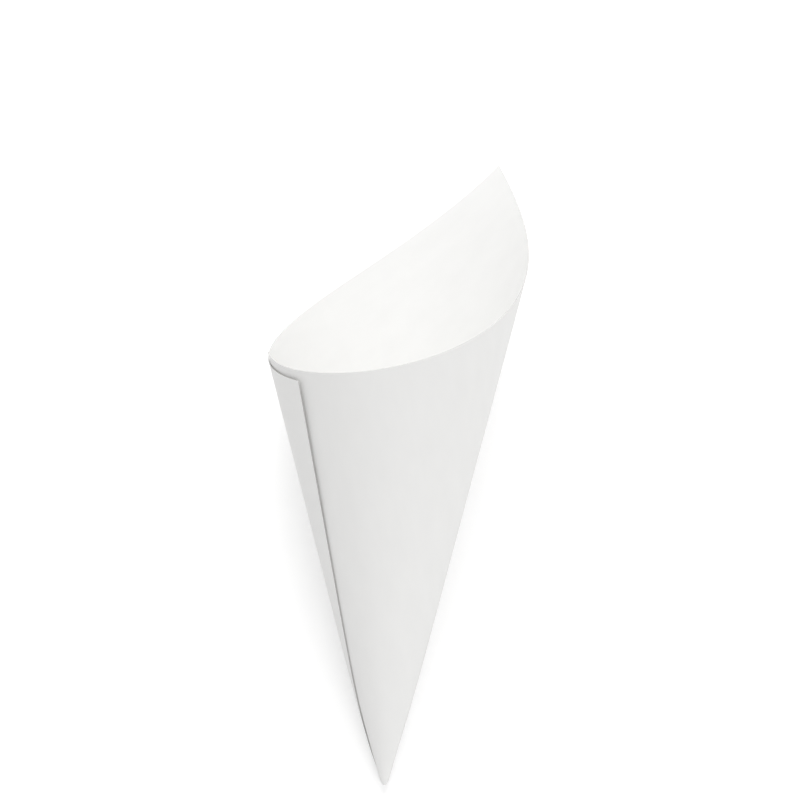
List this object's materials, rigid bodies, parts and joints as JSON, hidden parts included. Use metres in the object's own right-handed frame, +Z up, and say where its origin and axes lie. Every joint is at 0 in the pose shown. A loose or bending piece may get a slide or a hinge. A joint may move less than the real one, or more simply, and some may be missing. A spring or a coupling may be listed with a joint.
{
  "type": "french fries cone",
  "caption": "Plain white card cone for fries, rolled from one sheet with a lapped seam, a low front rim, a tall pointed back wall and a blunt point. Lies on its side.",
  "frame": {"origin": "on the surface that the cone lies on, under the middle of its box", "axes": "+Z up, +Y along the line that the cone lies on, from its point to its mouth"},
  "size_m": [0.106, 0.2574, 0.0948],
  "materials": {
    "white_card": "smooth matte white card"
  },
  "bodies": {
    "root": {"rolled_cone": "white_card"}
  },
  "joints": []
}
